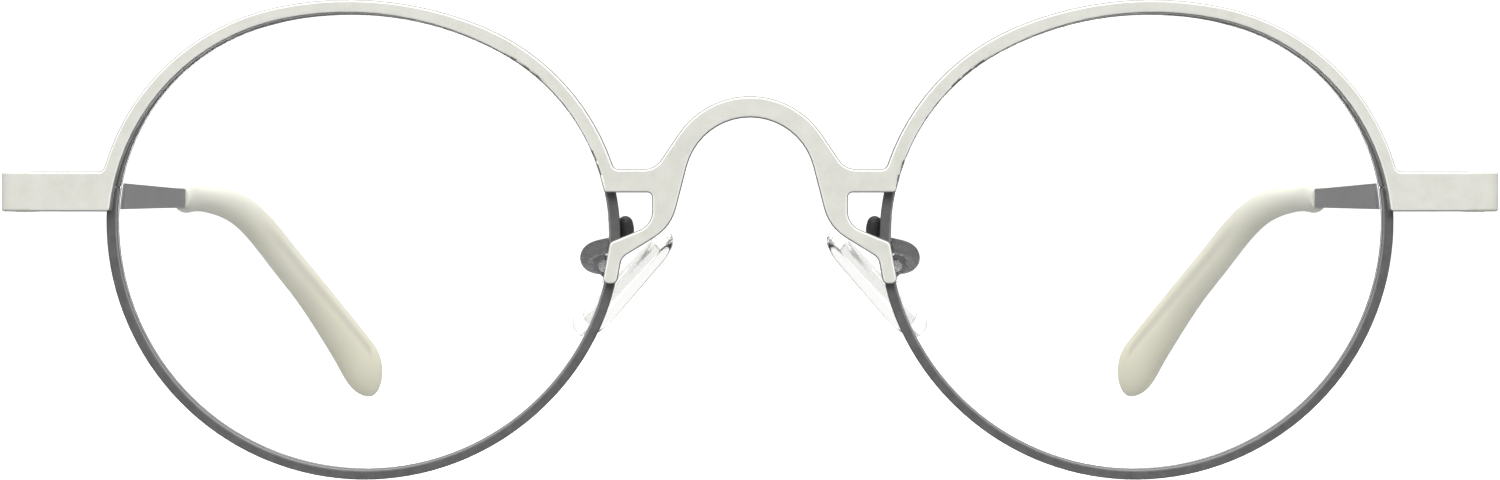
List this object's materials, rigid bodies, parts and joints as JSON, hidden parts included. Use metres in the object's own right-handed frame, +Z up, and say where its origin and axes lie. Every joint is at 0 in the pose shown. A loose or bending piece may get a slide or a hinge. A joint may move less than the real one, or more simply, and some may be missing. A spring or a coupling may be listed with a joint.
{
  "type": "round eyeglasses",
  "caption": "Round eyeglasses: cut sheet front with saddle bridge over grooved wire rims, rocking nose pads and folding temples with sleeved tips.",
  "frame": {"origin": "middle of the bounding box, at its base: the level of the rims' lowest points", "axes": "+X to the wearer's left, +Y back along the temples towards the ears, +Z up"},
  "size_m": [0.1384, 0.133, 0.0443],
  "materials": {
    "ivory_lacquer": "satin ivory lacquer on sheet steel",
    "gunmetal": "satin gunmetal grey",
    "lens_clear": "clear polished demo lens",
    "screw_steel": "turned bright steel",
    "hinge_metal": "satin gunmetal grey",
    "temple_metal": "satin grey",
    "tip_acetate": "milky translucent ivory",
    "pad_arm_metal": "gloss gunmetal grey",
    "pad_silicone": "clear silicone",
    "pad_insert": "clear hard plastic"
  },
  "bodies": {
    "front": {"front_plate": "ivory_lacquer", "right_rim": "gunmetal", "right_lens": "lens_clear", "right_rim_lock_upper": "gunmetal", "right_rim_lock_lower": "gunmetal", "right_rim_screw": "screw_steel", "right_hinge_front": "hinge_metal", "right_hinge_screw": "screw_steel", "right_pad_arm": "pad_arm_metal", "right_pad_box": "pad_arm_metal", "right_pad_screw": "screw_steel", "left_rim": "gunmetal", "left_lens": "lens_clear", "left_rim_lock_upper": "gunmetal", "left_rim_lock_lower": "gunmetal", "left_rim_screw": "screw_steel", "left_hinge_front": "hinge_metal", "left_hinge_screw": "screw_steel", "left_pad_arm": "pad_arm_metal", "left_pad_box": "pad_arm_metal", "left_pad_screw": "screw_steel"},
    "temple_right": {"right_temple": "temple_metal", "right_temple_tip": "tip_acetate", "right_hinge_temple": "hinge_metal"},
    "nose_pad_right": {"right_nose_pad": "pad_silicone", "right_pad_insert": "pad_insert"},
    "temple_left": {"left_temple": "temple_metal", "left_temple_tip": "tip_acetate", "left_hinge_temple": "hinge_metal"},
    "nose_pad_left": {"left_nose_pad": "pad_silicone", "left_pad_insert": "pad_insert"}
  },
  "joints": [
    {"name": "temple_right_fold", "type": "hinge", "parent": "front", "child": "temple_right", "pos_m": [-0.0671, -0.05994, 0.0265], "axis": [0, 0, -1], "range_deg": [0, 83]},
    {"name": "temple_left_fold", "type": "hinge", "parent": "front", "child": "temple_left", "pos_m": [0.0671, -0.05994, 0.0265], "axis": [0, 0, 1], "range_deg": [0, 78]},
    {"name": "nose_pad_right_rock", "type": "hinge", "parent": "front", "child": "nose_pad_right", "pos_m": [-0.01405, -0.05867, 0.01993], "axis": [-0.2048, 0.9613, 0.1844], "range_deg": [-8, 8]},
    {"name": "nose_pad_left_rock", "type": "hinge", "parent": "front", "child": "nose_pad_left", "pos_m": [0.01405, -0.05867, 0.01993], "axis": [0.2048, 0.9613, 0.1844], "range_deg": [-8, 8]}
  ]
}
